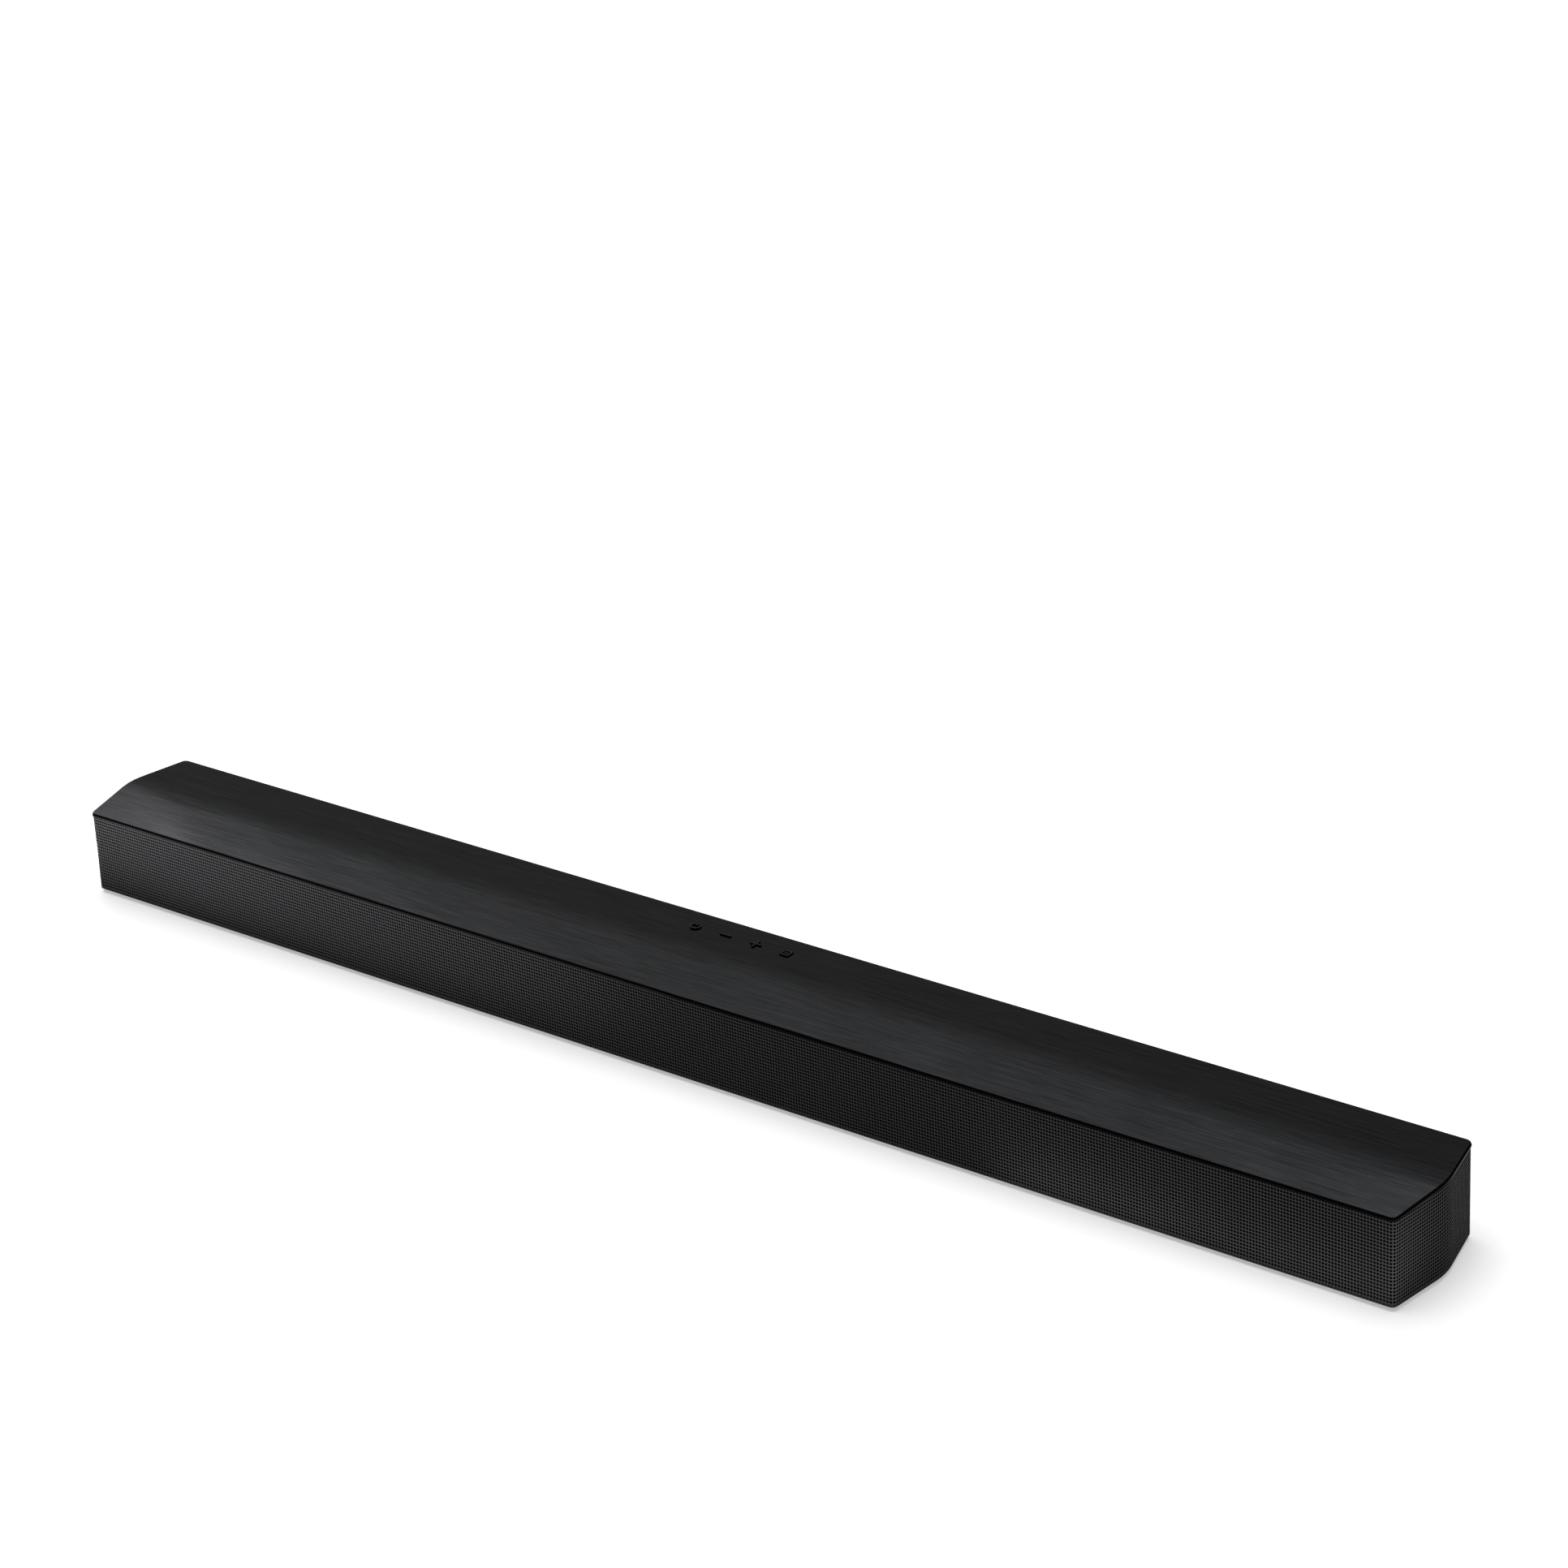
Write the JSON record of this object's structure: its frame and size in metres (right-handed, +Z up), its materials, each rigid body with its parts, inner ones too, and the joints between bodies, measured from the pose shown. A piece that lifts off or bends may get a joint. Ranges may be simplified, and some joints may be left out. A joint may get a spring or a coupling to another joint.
{
  "type": "soundbar",
  "caption": "Long six-sided soundbar with a brushed top plate, a wrap-round perforated grille, symbol-shaped keys and rear connector recesses.",
  "frame": {"origin": "middle of the footprint, on the surface that the feet stand on", "axes": "+X along the length, to the right of somebody facing the front; the grille faces -Y; +Z up"},
  "size_m": [1.058, 0.098, 0.066],
  "materials": {
    "brushed_panel": "hairline brushed, dark charcoal",
    "gloss_rim": "gloss black",
    "black_plastic": "fine moulded grain",
    "grille_metal": "satin powder coat over perforated sheet",
    "scrim_cloth": "fine black weave",
    "foam": "closed-cell foam",
    "socket_metal": "folded nickel-plated shell",
    "socket_plastic": "matte",
    "pin_brass": "nickel-plated brass",
    "driver_frame": "black pressed steel",
    "magnet": "ferrite ring between zinc-plated plates",
    "cone_paper": "black pulp cone",
    "soft_rubber": "satin rubber",
    "dome_silk": "coated silk",
    "screw_steel": "black zinc",
    "circuit_board": "green solder mask",
    "chip": "moulded package",
    "shield_can": "tin plate",
    "capacitor_sleeve": "shrink sleeve",
    "ferrite": "sintered ferrite",
    "winding": "enamelled copper under tape",
    "heatsink": "extruded",
    "ribbon": "white flat cable",
    "display": "dark window",
    "wire": "bundled insulated wires",
    "clip_nylon": "nylon",
    "insert_brass": "turned brass",
    "foot_rubber": "matt rubber",
    "key_plastic": "satin"
  },
  "bodies": {
    "cabinet": {"top_panel": "brushed_panel", "top_rim": "gloss_rim", "upper_housing": "black_plastic", "lower_housing": "black_plastic", "rear_panel": "black_plastic", "front_grille": "grille_metal", "grille_scrim": "scrim_cloth", "front_baffle": "black_plastic", "baffle_seal": "foam", "signal_bay": "black_plastic", "power_bay": "black_plastic", "hdmi_sockets": "socket_metal", "usb_socket": "socket_metal", "optical_socket": "socket_plastic", "power_inlet": "socket_plastic", "power_inlet_pins": "pin_brass", "woofer_frames": "driver_frame", "woofer_magnets": "magnet", "woofer_suspensions": "soft_rubber", "tweeter_frames": "driver_frame", "tweeter_magnets": "magnet", "tweeter_suspensions": "soft_rubber", "driver_screws": "screw_steel", "main_board": "circuit_board", "main_board_chips": "chip", "wireless_module": "shield_can", "power_supply_board": "circuit_board", "power_capacitors": "capacitor_sleeve", "transformer_core": "ferrite", "transformer_winding": "winding", "power_heatsink": "heatsink", "amplifier_board": "circuit_board", "amplifier_chips": "chip", "amplifier_heatsink": "heatsink", "output_coils": "ferrite", "key_board": "circuit_board", "tact_switches": "chip", "key_board_ribbon": "ribbon", "display_module": "display", "remote_receiver": "display", "wire_harness": "wire", "harness_clips": "clip_nylon", "board_screws": "screw_steel", "housing_screws": "screw_steel", "bracket_inserts": "insert_brass", "rubber_feet": "foot_rubber"},
    "power_key_body": {"power_key": "key_plastic"},
    "volume_down_key_body": {"volume_down_key": "key_plastic"},
    "volume_up_key_body": {"volume_up_key": "key_plastic"},
    "source_key_body": {"source_key": "key_plastic"},
    "woofer_left_outer": {"woofer_cone_left_outer": "cone_paper"},
    "woofer_left_inner": {"woofer_cone_left_inner": "cone_paper"},
    "woofer_centre_left": {"woofer_cone_centre_left": "cone_paper"},
    "woofer_centre_right": {"woofer_cone_centre_right": "cone_paper"},
    "woofer_right_inner": {"woofer_cone_right_inner": "cone_paper"},
    "woofer_right_outer": {"woofer_cone_right_outer": "cone_paper"},
    "tweeter_left": {"tweeter_dome_left": "dome_silk"},
    "tweeter_centre": {"tweeter_dome_centre": "dome_silk"},
    "tweeter_right": {"tweeter_dome_right": "dome_silk"}
  },
  "joints": [
    {"name": "power_key_press", "type": "slide", "parent": "cabinet", "child": "power_key_body", "axis": [0, 0, -1], "range_m": [0, 0.0005], "stiffness_N_per_m": 2000, "springref_m": -0.0002},
    {"name": "volume_down_key_press", "type": "slide", "parent": "cabinet", "child": "volume_down_key_body", "axis": [0, 0, -1], "range_m": [0, 0.0005], "stiffness_N_per_m": 2000, "springref_m": -0.0002},
    {"name": "volume_up_key_press", "type": "slide", "parent": "cabinet", "child": "volume_up_key_body", "axis": [0, 0, -1], "range_m": [0, 0.0005], "stiffness_N_per_m": 2000, "springref_m": -0.0002},
    {"name": "source_key_press", "type": "slide", "parent": "cabinet", "child": "source_key_body", "axis": [0, 0, -1], "range_m": [0, 0.0005], "stiffness_N_per_m": 2000, "springref_m": -0.0002},
    {"name": "woofer_left_outer_stroke", "type": "slide", "parent": "cabinet", "child": "woofer_left_outer", "axis": [0, -1, 0], "range_m": [-0.002, 0.002], "stiffness_N_per_m": 1500, "deforming": ["woofer_suspensions"]},
    {"name": "woofer_left_inner_stroke", "type": "slide", "parent": "cabinet", "child": "woofer_left_inner", "axis": [0, -1, 0], "range_m": [-0.002, 0.002], "stiffness_N_per_m": 1500, "deforming": ["woofer_suspensions"]},
    {"name": "woofer_centre_left_stroke", "type": "slide", "parent": "cabinet", "child": "woofer_centre_left", "axis": [0, -1, 0], "range_m": [-0.002, 0.002], "stiffness_N_per_m": 1500, "deforming": ["woofer_suspensions"]},
    {"name": "woofer_centre_right_stroke", "type": "slide", "parent": "cabinet", "child": "woofer_centre_right", "axis": [0, -1, 0], "range_m": [-0.002, 0.002], "stiffness_N_per_m": 1500, "deforming": ["woofer_suspensions"]},
    {"name": "woofer_right_inner_stroke", "type": "slide", "parent": "cabinet", "child": "woofer_right_inner", "axis": [0, -1, 0], "range_m": [-0.002, 0.002], "stiffness_N_per_m": 1500, "deforming": ["woofer_suspensions"]},
    {"name": "woofer_right_outer_stroke", "type": "slide", "parent": "cabinet", "child": "woofer_right_outer", "axis": [0, -1, 0], "range_m": [-0.002, 0.002], "stiffness_N_per_m": 1500, "deforming": ["woofer_suspensions"]},
    {"name": "tweeter_left_stroke", "type": "slide", "parent": "cabinet", "child": "tweeter_left", "axis": [0, -1, 0], "range_m": [-0.0003, 0.0003], "stiffness_N_per_m": 2500, "deforming": ["tweeter_suspensions"]},
    {"name": "tweeter_centre_stroke", "type": "slide", "parent": "cabinet", "child": "tweeter_centre", "axis": [0, -1, 0], "range_m": [-0.0003, 0.0003], "stiffness_N_per_m": 2500, "deforming": ["tweeter_suspensions"]},
    {"name": "tweeter_right_stroke", "type": "slide", "parent": "cabinet", "child": "tweeter_right", "axis": [0, -1, 0], "range_m": [-0.0003, 0.0003], "stiffness_N_per_m": 2500, "deforming": ["tweeter_suspensions"]}
  ],
  "couplings": [
    {"joint": "woofer_left_inner_stroke", "follows": "woofer_left_outer_stroke", "ratio": 1},
    {"joint": "woofer_centre_right_stroke", "follows": "woofer_centre_left_stroke", "ratio": 1},
    {"joint": "woofer_right_outer_stroke", "follows": "woofer_right_inner_stroke", "ratio": 1}
  ]
}
